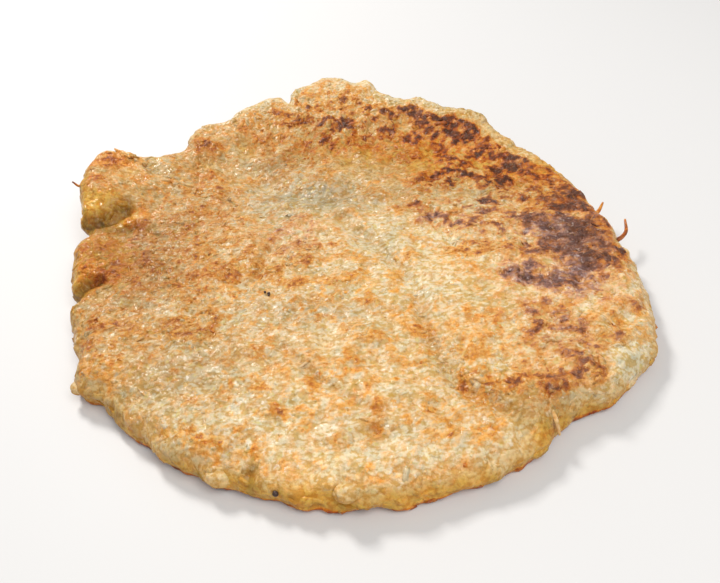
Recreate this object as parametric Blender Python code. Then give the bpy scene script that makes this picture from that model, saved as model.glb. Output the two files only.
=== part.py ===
"""A large pan-fried pancake of finely grated potato, as one solid.

Units are metres, +Z is up.  The origin is under the middle of the outline, in the
plane of the flat underside.  The outline is an egg with named lobes and notches on
it.  The far side (+Y) and the left side are lifted, as the pancake keeps the drape
that it took over the edge of something lower than itself.  The top is relief: folds
and valleys, low crags, and strips of grated potato that are fused on.
"""

import math
import random

import bmesh
import bpy
import numpy as np
from mathutils import Vector, noise

SEED = 41
MM = 0.001

# ---- outline: a slightly egg-shaped disc -------------------------------------------
MEAN_RADIUS = 101.8 * MM
EGG = (7.9 * MM, -81.0)             # once round: how far it is fuller, and towards where
OVAL = (3.8 * MM, -58.0)            # twice round: how far it is longer, and along where

# lobes and notches: direction in degrees from +X, half-widths clockwise and
# anticlockwise in degrees, reach in mm (negative is a notch)
LOBES = {
    "far crown": (84.0, 5.0, 12.4, 24.0),
    "dip beside the crown": (84.0, 3.1, 4.6, -15.5),
    "far nick": (103.0, 1.6, 1.6, -7.0),
    "far left flat": (123.0, 9.0, 7.3, -5.4),
    "left bay": (140.0, 8.3, 8.6, -10.5),
    "left ear": (152.4, 1.6, 15.5, 13.6),
    "left dent": (192.0, 19.0, 5.6, -2.4),
    "left bulge": (187.0, 4.5, 4.5, 0.9),
    "notch over the bulge": (176.0, 1.8, 2.2, -2.6),
    "notch under the bulge": (197.0, 2.0, 1.8, -3.4),
    "near left corner": (220.0, 5.4, 2.6, 4.3),
    "near right lobe": (328.0, 13.8, 12.1, 7.1),
    "near right cleft": (305.4, 4.4, 4.8, -4.6),
    "far right shoulder": (47.4, 6.0, 12.1, 4.6),
    "far right bump": (64.5, 4.3, 6.2, 3.0),
}
RAGGED = ((9.0, 1.0), (4.0, 0.7))   # edge raggedness: wavelength and reach, mm

# ---- section ---------------------------------------------------------------------
THICK_NEAR = 12.5 * MM
THICK_FAR = 9.5 * MM
WIDEST_AT = 0.28                    # share of the height where the wall stands out most
TOP_EDGE_NEAR = 13.0 * MM           # how far in the rounded top edge reaches
TOP_EDGE_FAR = 8.0 * MM
BOTTOM_EDGE = 2.5 * MM
EDGE_POWER = 2.2                    # squareness of the rounded edges
WALL_TOP_ANGLE = math.radians(35)   # where the top face hands over to the wall
WALL_BOTTOM_ANGLE = math.radians(-60)

# ---- drape -------------------------------------------------------------------------
LIFT = 13.0 * MM
LIFT_CENTRE = (12.0 * MM, -45.0 * MM)
LIFT_STARTS = 98.0 * MM
LIFT_FULL = 145.0 * MM

# ---- folds and valleys on top --------------------------------------------------------
# points in mm along the fold, then depth and half-width of its valley, then how much
# higher its left-hand side stands and how far that reaches, all in mm
FOLDS = {
    "ear fold": (((-78, 19), (-83, 17), (-88, 13), (-93, 10), (-101, 12)), 3.2, 2.0, -3.2, 12),
    "drape valley": (((-42, 50), (-31, 37), (-18, 28), (-5, 24), (7, 28), (16, 40)), 3.4, 6.0, 0, 1),
    "long crease": (((-4, 20), (4, 2), (14, -12), (24, -35), (27, -60), (33, -79), (46, -89),
                     (60, -98)), 1.6, 2.6, 0.8, 14),
    "diagonal crease": (((-27, -50), (-16, -63), (-8, -73), (0, -80), (14, -89)), 0.9, 1.6, 0.5, 8),
    "right ridge": (((31, -63), (38, -61), (44, -63), (48, -59)), -1.3, 1.8, 0, 1),
    "right hollow": (((54, -30), (57, -37), (65, -39)), 1.4, 2.4, 0, 1),
    "near crease": (((8, -90), (9, -95), (10, -101)), 1.3, 2.0, 0, 1),
    "near ridge": (((11, -104), (15, -103), (20, -101)), -1.2, 2.0, 0, 1),
    "middle fold": (((-35, -31), (-30, -28), (-28, -20), (-25, -11), (-20, -5)), 1.2, 2.2, 0.7, 12),
    "left crease": (((-100, -24), (-93, -25), (-86, -23), (-80, -24)), 2.6, 1.9, 1.2, 8),
    "right lobe fold": (((101, -46), (92, -56), (80, -60)), 1.5, 2.6, 0, 1),
    "near left gap": (((-41, -98), (-42, -103), (-43, -108)), 3.0, 1.8, 0, 1),
    "near left gap end": (((-26, -99), (-26, -104), (-27, -110)), 2.6, 1.6, 0, 1),
}
SWELLS = ((34.0, 1.1), (15.0, 1.0), (6.5, 0.8))     # soft unevenness: wavelength, height, mm
# low mounds: place in mm, half-sizes in mm, height in mm
MOUNDS = {
    "left bulge": ((-88, -12), (9, 12), 2.2),
    "ear roll": ((-88, 23), (14, 11), 1.6),
    "near slope": ((0, -100), (60, 14), -1.6),
    "near left slope": ((-62, -76), (20, 16), -1.2),
    "right lobe": ((88, -66), (14, 18), -1.2),
}
WALL_LUMPS = ((10.0, 1.3), (5.0, 0.8))              # lumps in the wall: wavelength, reach, mm
WALL_LUMPS_END = 6.0 * MM                           # how far in from the edge they fade out

# ---- strips and lumps fused on --------------------------------------------------------
STRIP_COUNT = 46
STRIP_LENGTH = (12 * MM, 23 * MM)
STRIP_WIDTH = (2.2 * MM, 3.0 * MM)
STRIP_STAND = 1.2 * MM              # how far a strip stands out of the top
STRIP_SINK = 0.9 * MM               # how far its lower side is below the top
STRIP_BEND = 1.1                    # radians along its length, either way
STRIP_PARTS = 4
EDGE_STRIP_COUNT = 22
EDGE_STRIP_LENGTH = (9 * MM, 16 * MM)
EDGE_STRIP_PROUD = 1.4 * MM         # how far the edge strips stand out of the wall

# free ends at the edge: points in mm, heights above the lifted underside in mm, width
STRAYS = {
    "far left tip": (((-90, 33), (-97, 32), (-102, 29), (-105, 30)), (7.5, 7.5, 7.0, 8.0), 1.7),
    "right curl": (((94, -13), (101, -13), (106, -9), (107.5, -3)), (7.0, 7.2, 7.6, 8.4), 1.9),
    "right tip": (((95, 1), (100, 5), (103, 9)), (6.5, 7.0, 7.8), 1.9),
    "cleft strip": (((56, -92), (57, -96), (57.5, -99)), (9.0, 8.0, 6.0), 1.8),
}
# lumps: centre in mm, height above the floor in mm, half-sizes in mm
LUMPS = {
    "near chunk": ((0, -109.6), 7.6, (3.8, 2.6, 2.8)),
    "cleft lump": ((51, -95.5), 8.5, (3.2, 2.6, 2.4)),
    "cleft crumb": ((55, -98), 4.5, (2.6, 2.4, 2.2)),
    "gap lump": ((-34.5, -99.5), 4.6, (4.6, 3.6, 3.4)),
    "right lobe bump": ((101, -21), 7.0, (2.4, 3.4, 2.2)),
    "near left crumb": ((-82, -65.5), 5.0, (2.8, 2.4, 2.2)),
}
# pepper grains that lie on top: place and radius in mm
PEPPER = ((-19, -104, 1.1), (-24, -36, 0.9))

# ---- mesh ----------------------------------------------------------------------------
GRID = 110
WALL_ROWS = 7
CORE_TRIANGLES = 5900
FLAT = 1.0e-5
SLIVER = 2.0e-5
MEND_ROUNDS = 4

CRUST_COLOUR = (0.60, 0.37, 0.15, 1.0)
CRUST_ROUGHNESS = 0.45


def smooth_step(value, low, high):
    """0 below low, 1 above high, and an S-curve between."""
    share = np.clip((value - low) / (high - low), 0.0, 1.0)
    return share * share * (3.0 - 2.0 * share)


def soft_noise(x, y, wavelength, layer=0.0):
    """Noise of about -1 to 1 over the plan, with features of one wavelength."""
    spots = zip(np.ravel(x) / wavelength, np.ravel(y) / wavelength)
    values = [noise.noise(Vector((a, b, layer))) for a, b in spots]
    return np.reshape(values, np.shape(x))


def smooth_path(points, per_span=8):
    """Catmull-Rom curve through the points, as an array of samples."""
    knots = np.array(points, dtype=float)
    knots = np.vstack([2 * knots[0] - knots[1], knots, 2 * knots[-1] - knots[-2]])
    samples = []
    for a, b, c, d in zip(knots, knots[1:], knots[2:], knots[3:]):
        for t in np.arange(per_span) / per_span:
            samples.append(0.5 * (2 * b + (c - a) * t + (2 * a - 5 * b + 4 * c - d) * t * t
                                  + (3 * b - a - 3 * c + d) * t ** 3))
    samples.append(knots[-2])
    return np.array(samples)


def outline_radius(angle):
    """Distance from the middle to the edge, for angles in radians."""
    degrees = np.degrees(angle)
    radius = MEAN_RADIUS + EGG[0] * np.cos(np.radians(degrees - EGG[1]))
    radius = radius + OVAL[0] * np.cos(2 * np.radians(degrees - OVAL[1]))
    for direction, clockwise, anticlockwise, reach in LOBES.values():
        off = (degrees - direction + 180.0) % 360.0 - 180.0
        width = np.where(off < 0, clockwise, anticlockwise)
        radius = radius + reach * MM * np.exp(-(off / width) ** 2)
    for layer, (wavelength, reach) in enumerate(RAGGED):
        around = MEAN_RADIUS / (wavelength * MM)
        radius = radius + reach * MM * soft_noise(around * np.cos(angle), around * np.sin(angle),
                                                  1.0, 5.3 + layer)
    return radius


def lift(x, y):
    """Height of the underside: flat near the middle, raised at the far and left edges."""
    away = np.hypot(x - LIFT_CENTRE[0], y - LIFT_CENTRE[1])
    return LIFT * smooth_step(away, LIFT_STARTS, LIFT_FULL)


def fold_relief(x, y, points, depth, half_width, step, reach):
    """Valley along a fold, with its left-hand side raised by step; all but x, y in mm."""
    path = smooth_path(points) * MM
    start, run = path[:-1], np.diff(path, axis=0)
    length = np.hypot(run[:, 0], run[:, 1])
    share_at_start = np.r_[0, np.cumsum(length)[:-1]] / length.sum()
    place = np.stack([x, y], axis=-1)[:, None, :] - start[None]
    along = np.clip((place * run).sum(-1) / length ** 2, 0, 1)
    gap = place - along[..., None] * run
    distance = np.hypot(gap[..., 0], gap[..., 1])
    nearest = distance.argmin(axis=1)
    rows = np.arange(len(x))
    distance = distance[rows, nearest]
    share = share_at_start[nearest] + along[rows, nearest] * length[nearest] / length.sum()
    side = np.sign(run[nearest, 0] * place[rows, nearest, 1] - run[nearest, 1] * place[rows, nearest, 0])
    fade = smooth_step(np.minimum(share, 1 - share), -0.03, 0.22)
    valley = -depth * np.exp(-(distance / (half_width * MM)) ** 2)
    raised = smooth_step(side * distance, -0.3 * half_width * MM, half_width * MM)
    raised = raised * np.exp(-(distance / (reach * MM)) ** 2)
    return fade * (valley + step * raised) * MM


def thickness(x, y):
    """Local thickness of the pancake away from its rounded edge."""
    depth = THICK_NEAR + (THICK_FAR - THICK_NEAR) * smooth_step(y, -40 * MM, 95 * MM)
    for layer, (wavelength, height) in enumerate(SWELLS):
        depth = depth + height * MM * soft_noise(x, y, wavelength * MM, 20.7 + layer)
    for points, *shape in FOLDS.values():
        depth = depth + fold_relief(x, y, points, *shape)
    for (middle_x, middle_y), (half_x, half_y), height in MOUNDS.values():
        off = ((x / MM - middle_x) / half_x) ** 2 + ((y / MM - middle_y) / half_y) ** 2
        depth = depth + height * MM * np.exp(-off)
    return depth


def top_edge(y):
    """How far in the rounded top edge reaches: further on the near side, which sags."""
    return TOP_EDGE_NEAR + (TOP_EDGE_FAR - TOP_EDGE_NEAR) * smooth_step(y, -50 * MM, 40 * MM)


def edge_fullness(inset, reach):
    """Share of the height that a rounded edge has at a distance in from its outside."""
    share = 1.0 - np.clip(inset / reach, 0.0, 1.0)
    return (1.0 - share ** EDGE_POWER) ** (1.0 / EDGE_POWER)


def edge_distance(x, y):
    """Distance in from the outline, measured towards the middle."""
    return outline_radius(np.arctan2(y, x)) - np.hypot(x, y)


def top_height(x, y):
    """Height of the top face over a place in the plan."""
    depth = thickness(x, y)
    low = WIDEST_AT * depth
    return lift(x, y) + low + (depth - low) * edge_fullness(edge_distance(x, y), top_edge(y))


def bottom_height(x, y):
    """Height of the underside, with its small rounded edge."""
    low = WIDEST_AT * thickness(x, y)
    return lift(x, y) + low * (1.0 - edge_fullness(edge_distance(x, y), BOTTOM_EDGE))


def grid_slab():
    """Square slab from -1 to 1 and from z 0 to 1, in a fine grid, with rows up its sides."""
    mesh = bmesh.new()
    bmesh.ops.create_grid(mesh, x_segments=GRID, y_segments=GRID, size=1.0)
    raised = bmesh.ops.extrude_face_region(mesh, geom=mesh.faces[:], use_keep_orig=True)
    tops = [item for item in raised["geom"] if isinstance(item, bmesh.types.BMVert)]
    bmesh.ops.translate(mesh, verts=tops, vec=(0.0, 0.0, 1.0))
    uprights = [edge for edge in mesh.edges if abs(edge.verts[0].co.z - edge.verts[1].co.z) > 0.5]
    bmesh.ops.subdivide_edges(mesh, edges=uprights, cuts=WALL_ROWS - 1, use_grid_fill=True)
    bmesh.ops.recalc_face_normals(mesh, faces=mesh.faces[:])
    return mesh


def wall_lumps(x, y, z):
    """Sideways lumps of the wall, fading out on the flat faces."""
    edge = 1.0 - smooth_step(edge_distance(x, y), 0.0, WALL_LUMPS_END)
    reach = np.zeros_like(x)
    for layer, (wavelength, height) in enumerate(WALL_LUMPS):
        around = x / (wavelength * MM), y / (wavelength * MM)
        spots = zip(*around, 2.0 * z / (wavelength * MM) + 3.1 * layer)
        reach = reach + height * MM * np.array([noise.noise(Vector(spot)) for spot in spots])
    return reach * edge


def shape_core(mesh):
    """Move the slab's points to the pancake's top, wall and underside."""
    points = np.array([vert.co[:] for vert in mesh.verts])
    across, along, level = points.T
    disc_x = across * np.sqrt(1.0 - along ** 2 / 2.0)
    disc_y = along * np.sqrt(1.0 - across ** 2 / 2.0)
    angle = np.arctan2(disc_y, disc_x)
    radius = outline_radius(angle)
    share = np.hypot(disc_x, disc_y)

    turn = WALL_BOTTOM_ANGLE + (WALL_TOP_ANGLE - WALL_BOTTOM_ANGLE) * level
    reach = np.where(turn > 0, top_edge(radius * np.sin(angle)), BOTTOM_EDGE)
    inset = reach * (1.0 - np.cos(turn) ** (2.0 / EDGE_POWER))
    plan = share * (radius - inset)
    x, y = plan * np.cos(angle), plan * np.sin(angle)
    z = np.where(turn > 0, top_height(x, y), bottom_height(x, y))
    plan = plan + wall_lumps(x, y, z)
    x, y = plan * np.cos(angle), plan * np.sin(angle)
    for vert, place in zip(mesh.verts, np.stack([x, y, z], axis=1)):
        vert.co = place


def make_core():
    """The pancake's body, cut down to the triangles that its relief needs."""
    mesh = grid_slab()
    shape_core(mesh)
    data = bpy.data.meshes.new("pancake")
    mesh.to_mesh(data)
    mesh.free()
    core = bpy.data.objects.new("pancake", data)
    thin = core.modifiers.new("fewer triangles", "DECIMATE")
    thin.use_collapse_triangulate = True
    thin.ratio = CORE_TRIANGLES / (2 * len(data.polygons))
    return core


def bent_strip(path, widths, heights):
    """Closed strip along a path: a cube cut across, its sections moved to the path's points."""
    cuts = len(path) - 2
    mesh = bmesh.new()
    bmesh.ops.create_cube(mesh, size=1.0)
    long_edges = [edge for edge in mesh.edges if abs(edge.verts[0].co.x - edge.verts[1].co.x) > 0.5]
    bmesh.ops.subdivide_edges(mesh, edges=long_edges, cuts=cuts, use_grid_fill=True)
    heading = np.gradient(np.array(path)[:, :2], axis=0)
    for vert in mesh.verts:
        section = round((vert.co.x + 0.5) * (cuts + 1))
        forward = Vector(heading[section]).normalized()
        sideways = Vector((-forward.y, forward.x, 0.0)) * vert.co.y * widths[section]
        vert.co = Vector(path[section]) + sideways + Vector((0, 0, vert.co.z * heights[section]))
    return mesh


def bent_path(start, heading, length, bend):
    """Plan points of a strip that turns by bend, in radians, along its length."""
    step = length / STRIP_PARTS
    places = [Vector(start) - Vector((math.cos(heading), math.sin(heading))) * length / 2]
    for part in range(STRIP_PARTS):
        turned = heading + bend * ((part + 0.5) / STRIP_PARTS - 0.5)
        places.append(places[-1] + Vector((math.cos(turned), math.sin(turned))) * step)
    return np.array([place[:] for place in places])


def add_piece(name, mesh, collection):
    """Put a bmesh into the collection as a named object."""
    bmesh.ops.recalc_face_normals(mesh, faces=mesh.faces[:])
    data = bpy.data.meshes.new(name)
    mesh.to_mesh(data)
    mesh.free()
    collection.objects.link(bpy.data.objects.new(name, data))


def add_laid_strip(name, plan, width, collection):
    """Strip of grated potato that follows the top, its ends sunk in."""
    x, y = plan.T
    middle = top_height(x, y) + (STRIP_STAND - STRIP_SINK) / 2
    ends = np.sin(np.linspace(0.0, math.pi, len(plan)))
    path = np.column_stack([x, y, middle - (1 - ends) * STRIP_STAND])
    widths = width * (0.55 + 0.45 * ends)
    heights = np.full(len(plan), STRIP_STAND + STRIP_SINK)
    add_piece(name, bent_strip(path, widths, heights), collection)


def lay_strips(collection, rng):
    """Strips all over the top, spread evenly by a sunflower spiral."""
    golden = math.pi * (3 - math.sqrt(5))
    for index in range(STRIP_COUNT):
        angle = index * golden + rng.uniform(-0.2, 0.2)
        share = 0.93 * math.sqrt((index + 0.5) / STRIP_COUNT)
        reach = share * float(outline_radius(angle)) - share ** 6 * STRIP_LENGTH[1] / 2
        start = (reach * math.cos(angle), reach * math.sin(angle))
        plan = bent_path(start, rng.uniform(0, math.pi), rng.uniform(*STRIP_LENGTH),
                         rng.uniform(-STRIP_BEND, STRIP_BEND))
        add_laid_strip(f"strip {index}", plan, rng.uniform(*STRIP_WIDTH), collection)


def lay_edge_strips(collection, rng):
    """Strips that lie along the wall, or a little across it, and make the edge ragged."""
    for index in range(EDGE_STRIP_COUNT):
        angle = math.tau * (index + rng.uniform(-0.3, 0.3)) / EDGE_STRIP_COUNT
        radius = float(outline_radius(angle))
        inset = rng.uniform(0.5, 3.0) * MM
        middle = ((radius - inset) * math.cos(angle), (radius - inset) * math.sin(angle))
        heading = angle + math.pi / 2 + rng.uniform(-0.35, 0.35)
        length = rng.uniform(*EDGE_STRIP_LENGTH)
        plan = bent_path(middle, heading, length, length / radius)
        x, y = plan.T
        # each point is brought to the wall, a little proud of it in the strip's middle
        proud = EDGE_STRIP_PROUD * (np.sin(np.linspace(0.0, math.pi, len(plan))) - 0.75)
        out = np.hypot(x, y)
        wanted = np.minimum(out, outline_radius(np.arctan2(y, x)) - inset * 0.5)
        x, y = x * wanted / out, y * wanted / out
        height = top_height(x, y) + proud - 0.4 * MM
        ends = np.sin(np.linspace(0.0, math.pi, len(plan)))
        widths = rng.uniform(*STRIP_WIDTH) * (0.55 + 0.45 * ends)
        strip = bent_strip(np.column_stack([x, y, height]), widths, np.full(len(plan), 2.0 * MM))
        add_piece(f"edge strip {index}", strip, collection)


def lay_strays(collection):
    """Free ends of single strips at the edge."""
    for name, (points, heights, width) in STRAYS.items():
        plan = smooth_path(points, per_span=2) * MM
        x, y = plan.T
        rise = np.interp(np.linspace(0, 1, len(plan)), np.linspace(0, 1, len(heights)), heights)
        taper = np.linspace(1.0, 0.6, len(plan)) * width * MM
        path = np.column_stack([x, y, lift(x, y) + rise * MM])
        add_piece(name, bent_strip(path, taper, taper), collection)


def lay_lumps(collection):
    """Small chunks in the wall and pepper grains on top."""
    for name, (place, height, half_sizes) in LUMPS.items():
        mesh = bmesh.new()
        bmesh.ops.create_icosphere(mesh, subdivisions=2, radius=1.0)
        centre = Vector((place[0] * MM, place[1] * MM, height * MM))
        for vert in mesh.verts:
            rough = 1.0 + 0.22 * noise.noise(vert.co * 1.7 + centre * 900)
            vert.co = centre + Vector([c * s * MM * rough for c, s in zip(vert.co, half_sizes)])
        add_piece(name, mesh, collection)
    for index, (x, y, radius) in enumerate(PEPPER):
        mesh = bmesh.new()
        bmesh.ops.create_icosphere(mesh, subdivisions=1, radius=radius * MM)
        height = float(top_height(np.array([x * MM]), np.array([y * MM]))[0])
        bmesh.ops.translate(mesh, verts=mesh.verts, vec=(x * MM, y * MM, height + 0.3 * radius * MM))
        add_piece(f"pepper {index}", mesh, collection)


def fuse(core, collection):
    """Join everything in the collection to the core by one union, and apply it."""
    union = core.modifiers.new("fused strips", "BOOLEAN")
    union.operation = "UNION"
    union.operand_type = "COLLECTION"
    union.collection = collection
    union.solver = "EXACT"
    fused = bpy.data.meshes.new_from_object(core.evaluated_get(bpy.context.evaluated_depsgraph_get()))
    core.modifiers.clear()
    core.data = fused
    fused.name = "pancake"
    for loose in list(collection.objects):
        bpy.data.objects.remove(loose)
    bpy.data.collections.remove(collection)


def islands(mesh):
    """Groups of faces that share edges."""
    waiting, groups = set(mesh.faces), []
    while waiting:
        group, edge_of_group = [], [waiting.pop()]
        while edge_of_group:
            face = edge_of_group.pop()
            group.append(face)
            for edge in face.edges:
                for other in edge.link_faces:
                    if other in waiting:
                        waiting.remove(other)
                        edge_of_group.append(other)
        groups.append(group)
    return groups


def mend_pinches(mesh):
    """Where slivers left an edge with one face or with three, cut them out and fill the hole."""
    for _ in range(MEND_ROUNDS):
        pinched = {vert for edge in mesh.edges if len(edge.link_faces) != 2 for vert in edge.verts}
        if not pinched:
            return
        around = list({face for vert in pinched for face in vert.link_faces})
        bmesh.ops.delete(mesh, geom=around, context="FACES")
        open_edges = [edge for edge in mesh.edges if edge.is_boundary]
        filled = bmesh.ops.holes_fill(mesh, edges=open_edges, sides=0)
        bmesh.ops.triangulate(mesh, faces=filled["faces"])


def clean_solid(core):
    """Keep the one body, without scraps or sealed hollows, in sound triangles."""
    mesh = bmesh.new()
    mesh.from_mesh(core.data)
    bmesh.ops.triangulate(mesh, faces=mesh.faces[:])
    bmesh.ops.dissolve_degenerate(mesh, dist=SLIVER, edges=mesh.edges[:])
    mend_pinches(mesh)
    groups = sorted(islands(mesh), key=len, reverse=True)
    scraps = [face for group in groups[1:] for face in group]
    bmesh.ops.delete(mesh, geom=scraps, context="FACES")
    for vert in mesh.verts:
        if abs(vert.co.z) < FLAT:
            vert.co.z = 0.0
    bmesh.ops.triangulate(mesh, faces=mesh.faces[:])
    # the strips make the outline a little uneven, so its middle is put back on the origin
    places = np.array([vert.co[:] for vert in mesh.verts])
    middle = (places.min(axis=0) + places.max(axis=0)) / 2
    bmesh.ops.translate(mesh, verts=mesh.verts, vec=(-middle[0], -middle[1], 0.0))
    mesh.to_mesh(core.data)
    mesh.free()


def crust_material():
    """Fried potato, golden."""
    material = bpy.data.materials.new("fried potato")
    material.use_nodes = True
    shader = material.node_tree.nodes["Principled BSDF"]
    shader.inputs["Base Color"].default_value = CRUST_COLOUR
    shader.inputs["Roughness"].default_value = CRUST_ROUGHNESS
    shader.inputs["Metallic"].default_value = 0.0
    return material


def main():
    for old in list(bpy.data.objects):
        bpy.data.objects.remove(old)
    rng = random.Random(SEED)
    dish = bpy.data.collections.new("potato pancake")
    bpy.context.scene.collection.children.link(dish)
    loose = bpy.data.collections.new("strips to fuse")
    bpy.context.scene.collection.children.link(loose)

    core = make_core()
    dish.objects.link(core)
    lay_strips(loose, rng)
    lay_edge_strips(loose, rng)
    lay_strays(loose)
    lay_lumps(loose)
    fuse(core, loose)
    clean_solid(core)
    core.data.materials.clear()
    core.data.materials.append(crust_material())
    core.data.shade_smooth()
    core.data.set_sharp_from_angle(angle=math.radians(50))


main()
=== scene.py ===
"""The look of a large pan-fried pancake of finely grated potato.

The pancake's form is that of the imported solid: the same outline, section, drape and
folds, here with a fine flaky relief.  Thousands of separate strips of potato lie half
sunk in it, and the browning follows patches, the relief and each strip's own shade.
"""

import math
from itertools import chain

import bmesh
import bpy
import numpy as np
from mathutils import Matrix, Quaternion, Vector, noise
from mathutils.bvhtree import BVHTree


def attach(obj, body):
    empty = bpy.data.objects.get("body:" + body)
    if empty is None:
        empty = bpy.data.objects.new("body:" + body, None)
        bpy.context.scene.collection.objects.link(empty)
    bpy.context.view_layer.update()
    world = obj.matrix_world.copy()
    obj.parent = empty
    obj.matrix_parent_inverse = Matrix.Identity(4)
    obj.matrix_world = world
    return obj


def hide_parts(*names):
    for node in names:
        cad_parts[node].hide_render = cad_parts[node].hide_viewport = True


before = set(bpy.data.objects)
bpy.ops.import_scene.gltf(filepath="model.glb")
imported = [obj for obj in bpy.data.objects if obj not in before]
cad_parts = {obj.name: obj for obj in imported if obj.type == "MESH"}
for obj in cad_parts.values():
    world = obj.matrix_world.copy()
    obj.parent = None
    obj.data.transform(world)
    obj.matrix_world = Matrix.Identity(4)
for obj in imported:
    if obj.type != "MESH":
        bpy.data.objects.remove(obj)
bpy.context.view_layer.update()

MM = 0.001
SEED = 7

# ---- form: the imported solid's own dimensions ----
MEAN_RADIUS = 101.8 * MM
EGG = (7.9 * MM, -81.0)  # once round: how far it is fuller, and towards where
OVAL = (3.8 * MM, -58.0)  # twice round: how far it is longer, and along where

# lobes and notches: direction in degrees from +X, half-widths clockwise and
# anticlockwise in degrees, reach in mm (negative is a notch)
LOBES = {
    "far crown": (84.0, 5.0, 12.4, 24.0),
    "dip beside the crown": (84.0, 3.1, 4.6, -15.5),
    "far nick": (103.0, 1.6, 1.6, -7.0),
    "far left flat": (123.0, 9.0, 7.3, -5.4),
    "left bay": (140.0, 8.3, 8.6, -10.5),
    "left ear": (152.4, 1.6, 15.5, 13.6),
    "left dent": (192.0, 19.0, 5.6, -2.4),
    "left bulge": (187.0, 4.5, 4.5, 0.9),
    "notch over the bulge": (176.0, 1.8, 2.2, -2.6),
    "notch under the bulge": (197.0, 2.0, 1.8, -3.4),
    "near left corner": (220.0, 5.4, 2.6, 4.3),
    "near right lobe": (328.0, 13.8, 12.1, 7.1),
    "near right cleft": (305.4, 4.4, 4.8, -4.6),
    "far right shoulder": (47.4, 6.0, 12.1, 4.6),
    "far right bump": (64.5, 4.3, 6.2, 3.0),
}
RAGGED = ((9.0, 1.0), (4.0, 0.7))  # edge raggedness: wavelength and reach, mm

THICK_NEAR = 12.5 * MM
THICK_FAR = 9.5 * MM
WIDEST_AT = 0.28  # share of the height where the wall stands out most
TOP_EDGE_NEAR = 13.0 * MM  # how far in the rounded top edge reaches
TOP_EDGE_FAR = 8.0 * MM
BOTTOM_EDGE = 2.5 * MM
EDGE_POWER = 2.2  # squareness of the rounded edges
WALL_TOP_ANGLE = math.radians(35)  # where the top face hands over to the wall
WALL_BOTTOM_ANGLE = math.radians(-60)

LIFT = 13.0 * MM
LIFT_CENTRE = (12.0 * MM, -45.0 * MM)
LIFT_STARTS = 98.0 * MM
LIFT_FULL = 145.0 * MM

# points in mm along the fold, then depth and half-width of its valley, then how much
# higher its left-hand side stands and how far that reaches, all in mm
FOLDS = {
    "ear fold": (((-78, 19), (-83, 17), (-88, 13), (-93, 10), (-101, 12)), 3.2, 2.0, -3.2, 12),
    "drape valley": (((-42, 50), (-31, 37), (-18, 28), (-5, 24), (7, 28), (16, 40)),
                     3.4, 6.0, 0, 1),
    "long crease": (((-4, 20), (4, 2), (14, -12), (24, -35), (27, -60), (33, -79), (46, -89),
                     (60, -98)), 1.6, 2.6, 0.8, 14),
    "diagonal crease": (((-27, -50), (-16, -63), (-8, -73), (0, -80), (14, -89)),
                        0.9, 1.6, 0.5, 8),
    "right ridge": (((31, -63), (38, -61), (44, -63), (48, -59)), -1.3, 1.8, 0, 1),
    "right hollow": (((54, -30), (57, -37), (65, -39)), 1.4, 2.4, 0, 1),
    "near crease": (((8, -90), (9, -95), (10, -101)), 1.3, 2.0, 0, 1),
    "near ridge": (((11, -104), (15, -103), (20, -101)), -1.2, 2.0, 0, 1),
    "middle fold": (((-35, -31), (-30, -28), (-28, -20), (-25, -11), (-20, -5)), 1.2, 2.2, 0.7, 12),
    "left crease": (((-100, -24), (-93, -25), (-86, -23), (-80, -24)), 2.6, 1.9, 1.2, 8),
    "right lobe fold": (((101, -46), (92, -56), (80, -60)), 1.5, 2.6, 0, 1),
    "near left gap": (((-41, -98), (-42, -103), (-43, -108)), 3.0, 1.8, 0, 1),
    "near left gap end": (((-26, -99), (-26, -104), (-27, -110)), 2.6, 1.6, 0, 1),
}
# folds that are closed to a crease, and how dark the painted shade at the crease's bottom is
SHADED_CREASES = {"ear fold": 1.3, "left crease": 0.8, "long crease": 0.22, "diagonal crease": 0.2,
           "middle fold": 0.15, "near left gap": 0.6, "near left gap end": 0.6}
SWELLS = ((34.0, 1.1), (15.0, 1.0), (6.5, 0.8))  # soft unevenness: wavelength, height, mm
# low mounds: place in mm, half-sizes in mm, height in mm
MOUNDS = {
    "left bulge": (-88, -12, 9, 12, 2.2),
    "ear roll": (-88, 23, 14, 11, 1.6),
    "near slope": (0, -100, 60, 14, -1.6),
    "near left slope": (-62, -76, 20, 16, -1.2),
    "right lobe": (88, -66, 14, 18, -1.2),
}
WALL_LUMPS = ((10.0, 1.3), (5.0, 0.8), (2.2, 0.35))  # lumps in the wall: wavelength, reach, mm
WALL_LUMPS_END = 6.0 * MM  # how far in from the edge they fade out

# ---- browning ----
# 0 is raw-looking pale, 0.4 golden, 0.6 orange, 0.8 dark brown, 1 burnt
BASE_BROWN = 0.27
BROWN_BEND = 0.50  # above this, patches that overlap add less and less
BROWN_ROOM = 0.34
PALE_RELIEF = 0.40
SUNK_WHERE_PALE = 0.35 * MM
DARK_PATCH = 0.28  # patches stronger than this turn dark, others only golden
GOLDEN_ROOM = 0.33
OFF_THE_PAN = 0.62  # share of a patch's browning in its low places
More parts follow.
